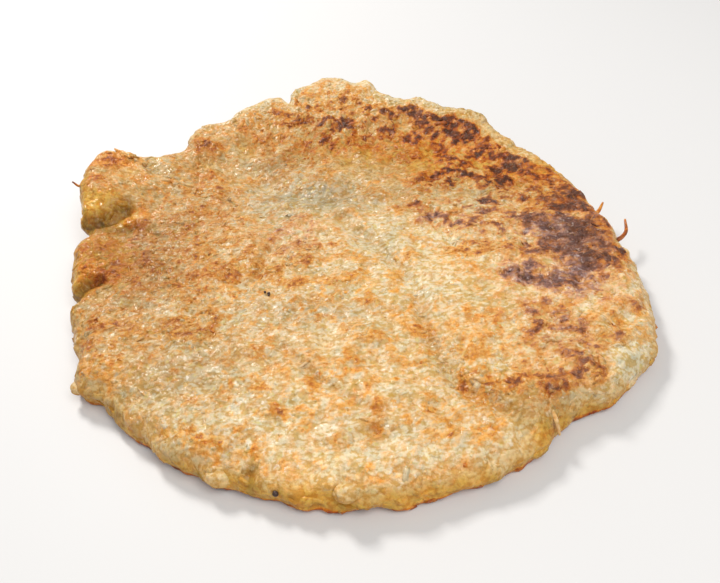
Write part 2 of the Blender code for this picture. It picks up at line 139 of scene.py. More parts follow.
# patches by region: place in mm, half-sizes in mm, how much browner, and turn in degrees if any
PATCHES = {
    "broad fields": ((68, 36, 30, 48, 0.28, 28), (62, 55, 32, 15, 0.27, -40),
        (6, 74, 44, 17, 0.25), (-54, -8, 27, 38, 0.12), (-12, -22, 21, 19, 0.10),
        (50, -72, 25, 20, 0.10), (-76, -50, 11, 19, 0.09)),
    "far right rim": ((12, 74, 22, 6, 0.10), (43, 75, 16, 5, 0.34, -15), (57, 62, 7, 6, 0.42),
        (49, 70, 7, 5, 0.33), (78, 46, 10, 5, 0.35, -30), (77, 36, 12, 5, 0.32),
        (68, 38, 5, 5, 0.31), (68, 27, 5, 4, 0.32), (80, 28, 13, 9, 0.22)),
    "flecks inside the rim": ((46, 30, 7, 6, 0.29), (48, 29, 14, 8, 0.24),
        (54, 11, 8, 4, 0.29, 10), (53, -6, 14, 12, 0.18), (30, 9, 7, 5, 0.34),
        (37, 1, 8, 4, 0.33), (26, 49, 4, 4, 0.21), (33, 61, 4, 4, 0.21), (44, 44, 7, 5, 0.12),
        (30, 27, 3, 3, 0.21)),
    "gaps inside the rim": ((33, 38, 6, 5, -0.18), (52, 17, 10, 3, -0.20, 25),
        (67, 16, 5, 4, -0.16), (66, 6, 4, 6, -0.16), (40, 55, 4, 5, -0.16), (30, 72, 4, 4, -0.14)),
    "burnt edge": ((90, 9, 9, 7, 0.80), (96, -3, 6, 8, 0.70), (94, -13, 6, 8, 0.60),
        (96, -26, 5, 6, 0.54)),
    "purple inside the burnt edge": ((77, -9, 9, 9, 0.63), (85, -15, 9, 9, 0.65),
        (77, -23, 7, 7, 0.30), (88, -24, 8, 8, 0.54), (83, -34, 10, 7, 0.46),
        (71, 0, 6, 5, 0.42), (68, -20, 9, 6, 0.32)),
    "brown below the purple": ((46, -18, 8, 7, 0.22), (62, -32, 7, 7, 0.40),
        (71, -38, 9, 6, 0.46), (81, -45, 9, 4, 0.20, -10), (94, -49, 8, 3, 0.20)),
    "red-brown patch and its gaps": ((66, -51, 9, 5, 0.21), (64, -61, 7, 9, 0.20),
        (72, -67, 9, 10, 0.21), (82, -63, 4, 7, 0.18), (70, -78, 9, 5, 0.22),
        (79, -53, 7, 3, -0.12), (66, -59, 3, 2, -0.26)),
    "near right": ((54, -73, 6, 4, 0.28, -20), (42, -78, 6, 4, 0.15), (50, -81, 6, 5, 0.28),
        (61, -80, 7, 4, 0.26), (25, -21, 4, 6, 0.11), (41, -63, 7, 6, -0.08)),
    "near rim": ((35, -102, 6, 3, 0.15, 10), (18, -106, 6, 3, 0.06), (24, -90, 6, 3, 0.05),
        (8, -92, 4, 4, 0.10), (-13, -102, 6, 2, 0.05), (-19, -104, 3, 4, 0.06),
        (-31, -95, 5, 4, 0.04), (-46, -91, 7, 4, 0.11, -20), (-60, -83, 5, 5, 0.09),
        (-19, -83, 4, 3, 0.09)),
    "ear": ((-95, 41, 4, 4, 0.16), (-89, 44, 7, 3, 0.15), (-93, 27, 3, 5, 0.12),
        (-90, 17, 13, 6, -0.16)),
    "left bulge": ((-88, -4, 5, 4, 0.20), (-87, -16, 8, 8, 0.09), (-78, -21, 5, 4, 0.08)),
    "left side": ((-56, 61, 6, 6, 0.17), (-61, 45, 5, 5, 0.11), (-53, 36, 9, 6, 0.11),
        (-35, 29, 4, 4, 0.10), (-54, -19, 15, 18, 0.05), (-49, -49, 8, 9, 0.15),
        (-83, -43, 4, 5, 0.10)),
    "centre": ((-16, 4, 6, 6, 0.10), (-11, -10, 5, 5, 0.09), (-19, -22, 11, 9, 0.06),
        (-2, -39, 3, 4, 0.11), (-24, -36, 3, 3, 0.26)),
    "far side": ((-31, 65, 5, 5, 0.10), (-23, 49, 6, 5, 0.12), (-4, 64, 5, 4, 0.12),
        (-13, 52, 4, 4, 0.10), (-5, 40, 4, 5, 0.12), (8, 83, 7, 4, 0.10), (19, 76, 6, 4, 0.11),
        (0, 73, 6, 4, 0.10), (-13, 76, 5, 4, 0.10), (11, 65, 5, 4, 0.10)),
    "pale middle": ((-12, 20, 19, 9, -0.18), (14, 44, 10, 9, -0.10), (17, -2, 14, 16, -0.10),
        (5, -16, 8, 7, -0.10), (32, -36, 12, 9, -0.11)),
    "pale left and near": ((-67, -33, 13, 6, -0.11), (-47, -68, 11, 9, -0.11),
        (-30, -86, 8, 4, -0.11), (-10, -95, 11, 5, -0.05), (-7, -103, 18, 4, -0.12),
        (20, -98, 10, 5, -0.11)),
    "pale right lobe and cleft": ((50, -99, 8, 8, -0.24), (51, -87, 5, 5, -0.19),
        (85, -76, 7, 10, -0.34), (71, -88, 11, 5, -0.29)),
}
SPECKLE = 0.145  # how strong the mottling is, and how much more on brown
SPECKLE_ON_BROWN = 0.10
GAP_DEPTH = (0.5, 0.30)  # how far the gaps between flecks lose browning: share, amount
OWN_BROWN = 0.06  # how much strips differ in browning, and on the wall
OWN_WALL_BROWN = 0.04
STAND_BROWN = 0.08  # how much browner a place is that stands up
WALL_BROWN = 0.12  # the wall was never against the pan
MARGIN_NEAR = 3.0 * MM  # how far in from the outside the browned top starts
MARGIN_FAR = 8.5 * MM  # on the far right side
MARGIN_FAR_TOWARDS = math.radians(68)
MARGIN_RAGGED = 2.4 * MM
MARGIN_SOFT = 1.2 * MM
# amber places, where the potato is translucent; under the ear, in the gap, the cleft and at the
# valley's end the amber is painted shade: middle in mm, half-sizes in mm, amount
AMBER = {
    "left bulge": (-88, -15, 13, 13, 2.2),
    "ear roll": (-91, 17, 12, 6, 0.9),
    "under the ear": (-86, 8, 13, 5, 1.4),
    "ear side": (-101, 24, 5, 16, 0.8),
    "ear": (-90, 36, 16, 14, 0.35),
    "left bay": (-58, 55, 20, 16, 0.25),
    "far side": (0, 58, 46, 17, 0.75),
    "rim": (46, 42, 32, 26, 0.85),
    "burnt edge": (92, -8, 14, 22, 0.30),
    "low left": (-45, -68, 20, 14, 0.20),
    "near wall": (20, -111, 60, 6, 0.25),
    "gap": (-34, -106, 9, 4, 0.8),
    "cleft": (56, -97, 5, 5, 0.7),
    "over the cleft": (50, -87, 10, 6, 0.5),
    "rim inside": (82, 30, 14, 10, 0.8),
    "valley end": (1, 21, 8, 4, 0.7),
    "left": (-72, -5, 38, 50, 0.34),
}
# places where the moist potato is greyer; in the valley and along the long and diagonal creases the
# greying is partly painted shade: the same
GREYER = {
    "valley": (-12, 23, 28, 14, 0.55),
    "pale middle": (20, -2, 12, 12, 0.1),
    "centre": (-14, -22, 22, 20, 0.25),
    "long crease": (24, -34, 12, 14, 0.6),
    "diagonal crease": (40, -70, 12, 5, 0.4),
    "right lobe": (86, -72, 10, 12, 1.0),
    "low left": (-38, -84, 18, 10, 0.6),
    "left": (-62, -46, 12, 8, 0.3),
}
# where the browning breaks up into separate flecks: the same
FLECKED = {
    "far right": (60, 40, 28, 28, 0.45),
    "far": (0, 66, 44, 24, 0.50),
    "inner flecks": (48, 6, 20, 24, 0.50),
    "near right": (50, -66, 20, 18, 0.20),
    "middle": (10, -30, 40, 40, 0.15),
}
# places painted darker: painted shade under the ear, over the cleft, in the valley and over the
# left side, and moist, less bright potato; below 0, painted light, as on the ear's face, the left
# bulge and the near wall, which face away from the lamps: the same
PAINTED_SHADE_AND_DULL = {
    "left side": (-76, -5, 48, 75, 0.25),
    "under the ear": (-84, 8, 11, 4, 0.55),
    "ear face": (-90, 13, 14, 7, -0.55),
    "ear": (-86, 40, 15, 11, -0.21),
    "left bulge": (-92, -21, 9, 7, -0.24),
    "left inside": (-65, -15, 12, 34, 0.13),
    "inside the band": (38, 19, 42, 11, 0.17),
    "far left": (-25, 48, 11, 8, 0.20),
    "far right inside": (25, 44, 12, 9, 0.12),
    "under the centre": (-8, -45, 28, 8, 0.19),
    "over the cleft": (56, -86, 13, 7, 0.22),
    "near rim": (-8, -103, 20, 5, -0.10),
    "near edge": (4, -94, 14, 6, 0.13),
    "long crease": (19, -34, 9, 7, -0.11),
    "red patch": (65, -66, 8, 8, 0.09),
    "left of the centre": (-24, 3, 8, 8, 0.09),
    "valley": (-12, 23, 28, 14, 0.30),
    "valley end": (1, 21, 8, 4, 0.12),
    "low left": (-45, -68, 18, 14, 0.22),
    "middle": (17, -2, 14, 14, 0.14),
    "near middle": (10, -66, 26, 14, 0.07),
    "far middle": (0, 56, 46, 26, 0.19),
    "near": (28, -88, 14, 8, 0.09),
    "centre": (-14, -22, 22, 20, 0.06),
    "far right": (66, 20, 32, 50, 0.08),
    "near wall": (20, -111, 60, 6, -0.07),
}
# where browning turns purple and grey and not orange: partly the burnt starch's own colour, partly
# painted sheen of the oil on it: the same
SMOKY = {
    "burnt edge": (94, -2, 8, 18, 0.30),
    "purple inside": (76, -9, 10, 8, 1.1),
    "purple": (86, -20, 9, 11, 0.9),
    "purple low": (80, -36, 12, 8, 0.9),
    "purple left": (62, -30, 8, 8, 0.7),
    "inner flecks": (54, 4, 18, 18, 0.45),
    "purple fleck": (36, 4, 8, 8, 0.45),
    "brown low": (58, -42, 12, 11, 0.5),
    "pink strips": (84, -46, 13, 6, 0.6),
    "red patch": (68, -66, 16, 14, 0.45),
    "bulge top": (-84, -8, 12, 11, 0.7),
    "centre": (-16, 0, 15, 13, 0.55),
    "reddish band": (76, 36, 14, 5, 0.4),
}
CREASE_SHADE = 0.60  # how much the painted shade darkens the bottom of a closed crease
OWN_LIGHT = 0.07  # how much strips differ in brightness
UNDER_BROWN = 0.50
RIM_BROWN = 0.66  # the thin crust line along the bottom edge
RIM_LINE = (1.6 * MM, 2.8 * MM)  # heights over which that line fades

# ---- fine relief ----
RASTER = 0.35 * MM
RASTER_HALF = 118.0 * MM
STAMPS = 34000  # flat strips in the relief of the top
STAMP_LENGTH = (1.6 * MM, 4.5 * MM)
STAMP_WIDTH = (0.9 * MM, 1.9 * MM)
STAMP_HEIGHT = 0.42 * MM
STAMP_LEVELS = 0.42 * MM
CRUMBLE = ((9.0, 0.9), (4.2, 0.5), (2.1, 0.28))  # lumps under the strips: wavelength, height, mm

TOP_GRID = 250
WALL_ROWS = 14

TINY = 1e-9
STRIP_SIDES = 4
STRIP_PARTS = 3
STRAY_SIDES = 10
SHORTEST_STEP = 0.25  # of a full step: a strip ends where the surface turns away

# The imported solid's outline was put back on the origin after its strips were fused
RECENTRE = (-1.4 * MM, 0.6 * MM)

# free ends at the edge: points in mm, heights above the lifted underside in mm, width in
# mm, browning at the root and at the tip
STRAYS = {
    "far left tip": (((-90, 33), (-97, 32), (-102, 29), (-105, 30)), (7.5, 7.5, 7.0, 8.0),
                     1.5, 0.1, 0.85),
    "right curl": (((94, -13), (101, -13), (106, -9), (107.5, -3)), (7.0, 7.2, 7.6, 8.4),
                   1.9, 0.8, 0.56),
    "right tip": (((95, 1), (100, 5), (103, 9)), (6.5, 7.0, 7.8), 1.9, 0.55, 0.62),
    "cleft strip": (((57.5, -88), (58.5, -92), (59, -95)), (9.5, 8.5, 6.0), 1.5, 0.2, 0.3),
}
# lumps: centre in mm, height above the floor in mm, half-sizes in mm, browning
LUMPS = {
    "near chunk": ((0, -109.6), 7.6, (3.8, 2.6, 2.8), 0.1),
    "cleft lump": ((51, -95), 7.0, (3.2, 2.6, 2.0), 0.12),
    "cleft crumb": ((59.5, -86.5), 3.6, (2.2, 2.0, 1.6), 0.72),
    "gap lump": ((-34.5, -99.5), 4.6, (4.6, 3.6, 3.4), 0.1),
    "right lobe bump": ((101, -21), 7.0, (2.4, 3.4, 2.2), 0.15),
    "near left crumb": ((-82, -65.5), 5.0, (2.8, 2.4, 2.2), 0.2),
}
# pepper grains: place, a height near which they lie, and radius, in mm
PEPPER = ((-19.5, -109, 6.5, 0.9), (-24, -36, 14, 0.6), (-24.6, -35.4, 14, 0.45),
          (-23.4, -36.9, 14, 0.4))


def smooth_step(value, low, high):
    """0 below low, 1 above high, and an S-curve between."""
    share = np.clip((value - low) / (high - low), 0.0, 1.0)
    return share * share * (3.0 - 2.0 * share)


def soft_noise(x, y, wavelength, layer=0.0):
    """Noise of about -1 to 1 over the plan, with features of one wavelength."""
    spots = zip(np.ravel(x) / wavelength, np.ravel(y) / wavelength)
    values = [noise.noise(Vector((a, b, layer))) for a, b in spots]
    return np.reshape(values, np.shape(x))


def layered_noise(x, y, layers, first):
    """Sum of noises, each with its wavelength and height in mm."""
    total = np.zeros_like(x)
    for number, (wavelength, height) in enumerate(layers):
        total = total + height * MM * soft_noise(x, y, wavelength * MM, first + number)
    return total


def near_spots(x, y, spots):
    """Sum of soft spots: middle and half-sizes in mm, amount."""
    total = np.zeros_like(x)
    for middle_x, middle_y, half_x, half_y, amount in spots.values():
        off = ((x / MM - middle_x) / half_x) ** 2 + ((y / MM - middle_y) / half_y) ** 2
        total = total + amount * np.exp(-off)
    return total


def smooth_path(points, per_span=8):
    """Catmull-Rom curve through the points, as an array of samples."""
    knots = np.array(points, dtype=float)
    knots = np.vstack([2 * knots[0] - knots[1], knots, 2 * knots[-1] - knots[-2]])
    samples = []
    for a, b, c, d in zip(knots, knots[1:], knots[2:], knots[3:]):
        for t in np.arange(per_span) / per_span:
            samples.append(0.5 * (2 * b + (c - a) * t + (2 * a - 5 * b + 4 * c - d) * t * t
                                  + (3 * b - a - 3 * c + d) * t ** 3))
    samples.append(knots[-2])
    return np.array(samples)


def outline_radius(angle):
    """Distance from the middle to the edge, for angles in radians."""
    degrees = np.degrees(angle)
    radius = MEAN_RADIUS + EGG[0] * np.cos(np.radians(degrees - EGG[1]))
    radius = radius + OVAL[0] * np.cos(2 * np.radians(degrees - OVAL[1]))
    for direction, clockwise, anticlockwise, reach in LOBES.values():
        off = (degrees - direction + 180.0) % 360.0 - 180.0
        width = np.where(off < 0, clockwise, anticlockwise)
        radius = radius + reach * MM * np.exp(-(off / width) ** 2)
    for layer, (wavelength, reach) in enumerate(RAGGED):
        around = MEAN_RADIUS / (wavelength * MM)
        radius = radius + reach * MM * soft_noise(around * np.cos(angle), around * np.sin(angle),
                                                  1.0, 5.3 + layer)
    return radius


def lift(x, y):
    """Height of the underside: flat near the middle, raised at the far and left edges."""
    away = np.hypot(x - LIFT_CENTRE[0], y - LIFT_CENTRE[1])
    return LIFT * smooth_step(away, LIFT_STARTS, LIFT_FULL)


def fold_relief(x, y, points, depth, half_width, step, reach):
    """Valley along a fold, with its left-hand side raised by step; all but x, y in mm."""
    path = smooth_path(points) * MM
    run = np.diff(path, axis=0)
    length = np.hypot(run[:, 0], run[:, 1])
    share_at_start = np.r_[0, np.cumsum(length)[:-1]] / length.sum()
    distance = np.full(x.shape, np.inf)
    share = np.zeros(x.shape)
    side = np.zeros(x.shape)
    for start, step_run, span, begun in zip(path[:-1], run, length, share_at_start):
        off_x, off_y = x - start[0], y - start[1]
        along = np.clip((off_x * step_run[0] + off_y * step_run[1]) / span ** 2, 0, 1)
        gap = np.hypot(off_x - along * step_run[0], off_y - along * step_run[1])
        nearer = gap < distance
        distance = np.where(nearer, gap, distance)
        share = np.where(nearer, begun + along * span / length.sum(), share)
        side = np.where(nearer, np.sign(step_run[0] * off_y - step_run[1] * off_x), side)
    fade = smooth_step(np.minimum(share, 1 - share), -0.03, 0.22)
    valley = -depth * np.exp(-(distance / (half_width * MM)) ** 2)
    raised = smooth_step(side * distance, -0.3 * half_width * MM, half_width * MM)
    raised = raised * np.exp(-(distance / (reach * MM)) ** 2)
    return fade * (valley + step * raised) * MM


def thickness(x, y, folds):
    """Local thickness of the pancake away from its rounded edge, with its folds' relief."""
    depth = THICK_NEAR + (THICK_FAR - THICK_NEAR) * smooth_step(y, -40 * MM, 95 * MM)
    depth = depth + layered_noise(x, y, SWELLS, 20.7)
    return depth + folds + near_spots(x, y, MOUNDS) * MM


def all_folds(x, y):
    """Relief of all folds together, and the painted shade of their closed creases at each place, 0
    to 1.
    """
    relief, crease = np.zeros_like(x), np.zeros_like(x)
    for name, (points, depth, half_width, step, reach) in FOLDS.items():
        relief = relief + fold_relief(x, y, points, depth, half_width, step, reach)
        if name in SHADED_CREASES:
            valley = fold_relief(x, y, points, 1.0, half_width, 0, reach) / MM
            crease = crease - SHADED_CREASES[name] * valley
    return relief, np.clip(crease, 0, 1)


def top_edge(y):
    """How far in the rounded top edge reaches: further on the near side, which sags."""
    return TOP_EDGE_NEAR + (TOP_EDGE_FAR - TOP_EDGE_NEAR) * smooth_step(y, -50 * MM, 40 * MM)


def edge_fullness(inset, reach):
    """Share of the height that a rounded edge has at a distance in from its outside."""
    share = 1.0 - np.clip(inset / reach, 0.0, 1.0)
    return (1.0 - share ** EDGE_POWER) ** (1.0 / EDGE_POWER)


def wall_lumps(x, y, z, inset):
    """Sideways lumps of the wall, fading out on the flat faces."""
    edge = 1.0 - smooth_step(inset, 0.0, WALL_LUMPS_END)
    reach = np.zeros_like(x)
    for layer, (wavelength, height) in enumerate(WALL_LUMPS):
        around = x / (wavelength * MM), y / (wavelength * MM)
        spots = zip(*around, 2.0 * z / (wavelength * MM) + 3.1 * layer)
        reach = reach + height * MM * np.array([noise.noise(Vector(spot)) for spot in spots])
    return reach * edge


# ---- the mat of strips as relief ----

def stamp_mat(rng):
    """Raster of a mat of flat bent strips: its height and the shade of the strip on top."""
    cells = int(2 * RASTER_HALF / RASTER) + 1
    height = np.zeros((cells, cells))
    shade = np.zeros((cells, cells))
    for _ in range(STAMPS):
        length = rng.uniform(*STAMP_LENGTH)
        width = rng.uniform(*STAMP_WIDTH)
        heading = rng.uniform(0, math.pi)
        bend = rng.uniform(-1, 1) * 0.35 / length
        middle = rng.uniform(-RASTER_HALF, RASTER_HALF, 2)
        level = rng.uniform(0, STAMP_LEVELS)
        own_shade = rng.normal()
        reach = length / 2 + width
        low = np.maximum(((middle - reach + RASTER_HALF) / RASTER).astype(int), 0)
        high = np.minimum(((middle + reach + RASTER_HALF) / RASTER).astype(int) + 1, cells)
        rows, columns = slice(low[1], high[1]), slice(low[0], high[0])
        x = (np.arange(low[0], high[0]) * RASTER - RASTER_HALF - middle[0])[None, :]
        y = (np.arange(low[1], high[1]) * RASTER - RASTER_HALF - middle[1])[:, None]
        along = x * math.cos(heading) + y * math.sin(heading)
        across = y * math.cos(heading) - x * math.sin(heading) - bend * along ** 2
        out = (2 * along / length) ** 4 + (2 * across / width) ** 2
        crown = level + STAMP_HEIGHT * np.sqrt(np.clip(1 - out, 0, 1))
        over = (out < 1) & (crown > height[rows, columns])
        height[rows, columns] = np.where(over, crown, height[rows, columns])
        shade[rows, columns] = np.where(over, own_shade, shade[rows, columns])
    return height, shade


def read_raster(raster, x, y):
    """Bilinear value of a raster at places in the plan."""
    column = np.clip((x + RASTER_HALF) / RASTER, 0, raster.shape[1] - 1.001)
    row = np.clip((y + RASTER_HALF) / RASTER, 0, raster.shape[0] - 1.001)
    left, low = column.astype(int), row.astype(int)
    right_share, high_share = column - left, row - low
    bottom = raster[low, left] * (1 - right_share) + raster[low, left + 1] * right_share
    top = raster[low + 1, left] * (1 - right_share) + raster[low + 1, left + 1] * right_share
    return bottom * (1 - high_share) + top * high_share


# ---- browning ----

def patch_brown(x, y):
    """How much browner the top is in its patches, with their edges frayed by noise."""
    fray_x = x / MM + 3.5 * soft_noise(x, y, 12 * MM, 61.0) + 3.0 * soft_noise(x, y, 4 * MM, 63.0)
    fray_y = y / MM + 3.5 * soft_noise(x, y, 12 * MM, 62.0) + 3.0 * soft_noise(x, y, 4 * MM, 64.0)
    golden, dark = np.zeros(x.shape), np.zeros(x.shape)
    for px, py, half_x, half_y, amount, *turn in chain(*PATCHES.values()):
        angle = math.radians(turn[0]) if turn else 0.0
        cos, sin = math.cos(angle), math.sin(angle)
        along = ((fray_x - px) * cos + (fray_y - py) * sin) / half_x
        across = ((fray_y - py) * cos - (fray_x - px) * sin) / half_y
        here = amount * (1.0 - smooth_step(np.hypot(along, across), 0.45, 1.45))
        if amount > DARK_PATCH:
            dark = dark + here
        else:
            golden = golden + here
    return np.minimum(golden, GOLDEN_ROOM * np.tanh(golden / GOLDEN_ROOM)) + dark


def bend_over(value):
    """The value, rising less and less above BROWN_BEND."""
    over = np.maximum(value - BROWN_BEND, 0.0)
    return np.minimum(value, BROWN_BEND) + BROWN_ROOM * np.tanh(over / BROWN_ROOM)


def crusty(more):
    """Share of the full flaky relief: the pale moist places are smoother."""
    return PALE_RELIEF + (1.0 - PALE_RELIEF) * smooth_step(more, -0.06, 0.16)


def contact(x, y):
    """Where the top lay on the hot pan: crisp islands, 0 to 1."""
    high = 0.6 * soft_noise(x, y, 7 * MM, 74.0) + 0.85 * soft_noise(x, y, 3.2 * MM, 75.0)
    return smooth_step(high + 0.5 * soft_noise(x, y, 1.6 * MM, 76.0), -0.36, 0.34)


def speckle(x, y):
    """Mottling of the browning, finer than its patches, in islands with crisp borders."""
    wide = soft_noise(x, y, 22 * MM, 69.0) + soft_noise(x, y, 11 * MM, 70.0)
    middle = soft_noise(x, y, 5.5 * MM, 71.0) + 0.5 * soft_noise(x, y, 2.6 * MM, 72.0)
    islands = 2.0 * smooth_step(middle, -0.42, 0.42) - 1.0
    return 0.45 * wide + 0.60 * islands + 0.45 * soft_noise(x, y, 1.7 * MM, 73.0)


def brown_at(x, y, z, inset, more, own, stand):
    """Browning over the whole surface, from its patches and a strip's own shade and height."""
    touched, flecked = contact(x, y), near_spots(x, y, FLECKED)
    lost_share, lost = GAP_DEPTH
    share = 1.0 + (1.0 - OFF_THE_PAN + lost_share * flecked) * (2.0 * touched - 1.0)
    more = more * np.where(more > 0, share, 1.0) - lost * flecked * (1.0 - touched)
    crisp = SPECKLE + SPECKLE_ON_BROWN * np.clip(more, 0, 0.5)
    top = bend_over(BASE_BROWN + more) + crisp * speckle(x, y)
    top = top + OWN_BROWN * own + STAND_BROWN * stand
    wall = WALL_BROWN + 0.10 * soft_noise(x + z, y - z, 4 * MM, 81.0) + OWN_WALL_BROWN * own
    line = RIM_BROWN + 0.2 * soft_noise(x, y, 6 * MM, 82.0)
    wall = wall + (line - wall) * (1 - smooth_step(z - lift(x, y), *RIM_LINE))
    # the browned top ends raggedly, a little way down the rounded edge
    far = smooth_step(np.cos(np.arctan2(y, x) - MARGIN_FAR_TOWARDS), 0.58, 0.74)
    margin = MARGIN_NEAR + (MARGIN_FAR - MARGIN_NEAR) * far
    edge = inset + MARGIN_RAGGED * soft_noise(x, y, 5 * MM, 83.0)
    return wall + (top - wall) * smooth_step(edge, margin - MARGIN_SOFT, margin + MARGIN_SOFT)


def light_at(x, y, crease, own):
    """How bright the potato is: painted shade in creases and shaded places, painted light on faces
    turned from the lamps, darker where it is moist, by strip otherwise.
    """
    return 1.0 + OWN_LIGHT * own - CREASE_SHADE * crease - near_spots(x, y, PAINTED_SHADE_AND_DULL)


def smoky_at(x, y):
    """How far browning turns to purple."""
    return np.clip(near_spots(x, y, SMOKY) * (1.0 + 0.8 * soft_noise(x, y, 7 * MM, 87.0)), 0, 1)


def amber_at(x, y, z, inset, crease):
    """How amber the pale potato is, or how grey where it is below 0; the amber low on the wall is
    partly painted shade, and in closed creases it is painted shade.
    """
    height = (z - lift(x, y)) / THICK_NEAR
    low = 1.0 - smooth_step(height, 0.05, 0.75)
    outside = 1.0 - smooth_step(inset, 1.0 * MM, 7.0 * MM)
    amber = outside * (0.50 + 0.95 * low) * (1.0 - 0.8 * smooth_step(y, 5 * MM, 60 * MM))
    amber = (amber + near_spots(x, y, AMBER)) * (1.0 + 0.5 * soft_noise(x, y, 6 * MM, 85.0))
    wide = 0.35 * soft_noise(x, y, 19 * MM, 86.0)
    return np.clip(amber + wide + crease - near_spots(x, y, GREYER), -1, 1)


# ---- meshes ----

def make_mesh(name, points, faces, crust, uv=None):
    """Mesh object from arrays, with its browning, brightness (which holds painted light and shade),
    amber and purple fields as a colour attribute.
    """
    mesh = bpy.data.meshes.new(name)
    mesh.from_pydata(points.tolist(), [], faces)
    mesh.validate()
    fields = mesh.color_attributes.new("crust", "FLOAT_COLOR", "POINT")
    fields.data.foreach_set("color", crust.astype(np.float32).ravel())
    if uv is not None:
        layer = mesh.uv_layers.new(name="OFBake")
        layer.data.foreach_set("uv", uv.astype(np.float32).ravel())
    mesh.shade_smooth()
    piece = bpy.data.objects.new(name, mesh)
    bpy.context.scene.collection.objects.link(piece)
    return piece


def disc_grid(count):
    """A square grid bent to a disc: share of the radius, angle, quads, and its rim in order."""
    line = np.linspace(-1, 1, count + 1)
    across, along = (values.ravel() for values in np.meshgrid(line, line))
    disc_x = across * np.sqrt(1 - along ** 2 / 2)
    disc_y = along * np.sqrt(1 - across ** 2 / 2)
    index = np.arange((count + 1) ** 2).reshape(count + 1, count + 1)
    quads = np.stack([index[:-1, :-1], index[:-1, 1:], index[1:, 1:], index[1:, :-1]], -1)
    rim = np.concatenate([index[0, :-1], index[:-1, -1], index[-1, :0:-1], index[:0:-1, 0]])
    return np.hypot(disc_x, disc_y), np.arctan2(disc_y, disc_x), quads.reshape(-1, 4), rim


def ring_quads(rings):
    """Quads between rings of points that follow one another, all wound the same way."""
    ahead = np.roll(rings, -1, axis=-1)
    quads = [rings[..., :-1, :], ahead[..., :-1, :], ahead[..., 1:, :], rings[..., 1:, :]]
    return np.stack(quads, -1).reshape(-1, 4)


def top_surface(x, y, inset, depth):
    low = WIDEST_AT * depth
    return lift(x, y) + low + (depth - low) * edge_fullness(inset, top_edge(y))


def bottom_surface(x, y, inset, depth):
    low = WIDEST_AT * depth
    return lift(x, y) + low * (1.0 - edge_fullness(inset, BOTTOM_EDGE))


def core_faces(top_quads, rim, under_quads, under_rim):
    """Faces of the body: top, wall, step from the wall to the coarser underside, underside."""
    tops, walls = (TOP_GRID + 1) ** 2, WALL_ROWS * len(rim)
    rings = np.vstack([rim, tops + np.arange(walls).reshape(WALL_ROWS, len(rim))])
    wall_quads = ring_quads(rings)[:, [0, 3, 2, 1]]
    fine, coarse = rings[-1], under_rim + tops + walls
    middle, last, coarse_ahead = fine[1::2], np.roll(fine, -2)[0::2], np.roll(coarse, -1)
    steps = np.vstack([np.stack(three, -1) for three in (
        (coarse, coarse_ahead, middle), (coarse, middle, fine[0::2]),
        (coarse_ahead, last, middle))])
    return top_quads, wall_quads, steps, under_quads[:, ::-1] + tops + walls


def core_map(plan, top_quads, wall_quads, steps, under_quads):
    """Map of the body: the top as one island, the wall as a band, the underside as another."""
    spread = 0.5 + plan / (2 * RASTER_HALF)
    top_map = 0.01 + 0.66 * spread
    under_map = np.array([0.68, 0.01]) + 0.31 * spread
    across = np.arange(len(wall_quads) // WALL_ROWS)[:, None] + np.array([0, 0, 1, 1])
    down = np.arange(WALL_ROWS)[:, None, None] + np.array([0, 1, 1, 0])
    band = np.broadcast_arrays(0.01 + 0.98 * across * WALL_ROWS / len(wall_quads),
                               0.69 + 0.30 * down / (WALL_ROWS + 1))
    coarse, coarse_ahead = steps[:len(steps) // 3, :2].T
    flat_steps = [coarse, coarse_ahead, coarse_ahead], [coarse] * 3, [coarse_ahead] * 3
    islands = [top_map[top_quads], np.stack(band, -1),
               *(under_map[np.stack(three, -1)] for three in flat_steps), under_map[under_quads]]
    return np.vstack([island.reshape(-1, 2) for island in islands])


